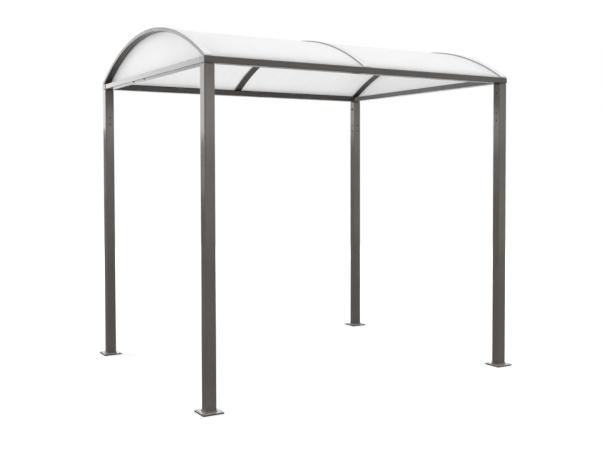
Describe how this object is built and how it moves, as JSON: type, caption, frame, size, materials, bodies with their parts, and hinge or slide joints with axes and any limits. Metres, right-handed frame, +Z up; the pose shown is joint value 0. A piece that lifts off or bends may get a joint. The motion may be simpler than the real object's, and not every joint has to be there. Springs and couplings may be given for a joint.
{
  "type": "bike shelter",
  "caption": "Bike shelter with square steel posts on base plates, a tubular roof frame and a barrel-vault roof of opal sheets clamped on arched ribs, with opal panels in the ends.",
  "frame": {"origin": "on the floor at the plan centre, below the crest of the vault", "axes": "+X along the shelter to the right seen from the front, +Y from front to rear, +Z up"},
  "size_m": [2.564, 2.07, 2.4867],
  "materials": {
    "plate_paint": "satin",
    "weld_paint": "satin",
    "post_paint": "satin",
    "beam_paint": "satin",
    "rail_paint": "satin",
    "rib_paint": "satin",
    "spigot_steel": "satin",
    "cap_plastic": "satin",
    "opal_sheet": "gloss",
    "opal_panel": "gloss",
    "gasket_rubber": "matte",
    "strip_aluminium": "satin"
  },
  "bodies": {
    "root": {"base_plate_front_left": "plate_paint", "base_plate_front_right": "plate_paint", "base_plate_rear_left": "plate_paint", "base_plate_rear_right": "plate_paint", "foot_weld_front_left": "weld_paint", "foot_weld_front_right": "weld_paint", "foot_weld_rear_left": "weld_paint", "foot_weld_rear_right": "weld_paint", "post_front_left": "post_paint", "post_front_right": "post_paint", "post_rear_left": "post_paint", "post_rear_right": "post_paint", "spigot_front_left": "spigot_steel", "spigot_front_right": "spigot_steel", "spigot_rear_left": "spigot_steel", "spigot_rear_right": "spigot_steel", "front_beam": "beam_paint", "rear_beam": "beam_paint", "left_end_beam": "beam_paint", "right_end_beam": "beam_paint", "beam_cap_front_left": "cap_plastic", "beam_cap_front_right": "cap_plastic", "beam_cap_rear_left": "cap_plastic", "beam_cap_rear_right": "cap_plastic", "eave_rail_front_left": "rail_paint", "eave_rail_front_right": "rail_paint", "eave_rail_rear_left": "rail_paint", "eave_rail_rear_right": "rail_paint", "rib_left": "rib_paint", "rib_middle": "rib_paint", "rib_right": "rib_paint", "roof_sheet_left": "opal_sheet", "roof_sheet_right": "opal_sheet", "gasket_left": "gasket_rubber", "gasket_middle": "gasket_rubber", "gasket_right": "gasket_rubber", "cover_strip_left": "strip_aluminium", "cover_strip_middle": "strip_aluminium", "cover_strip_right": "strip_aluminium", "end_panel_left": "opal_panel", "end_panel_right": "opal_panel"}
  },
  "joints": []
}
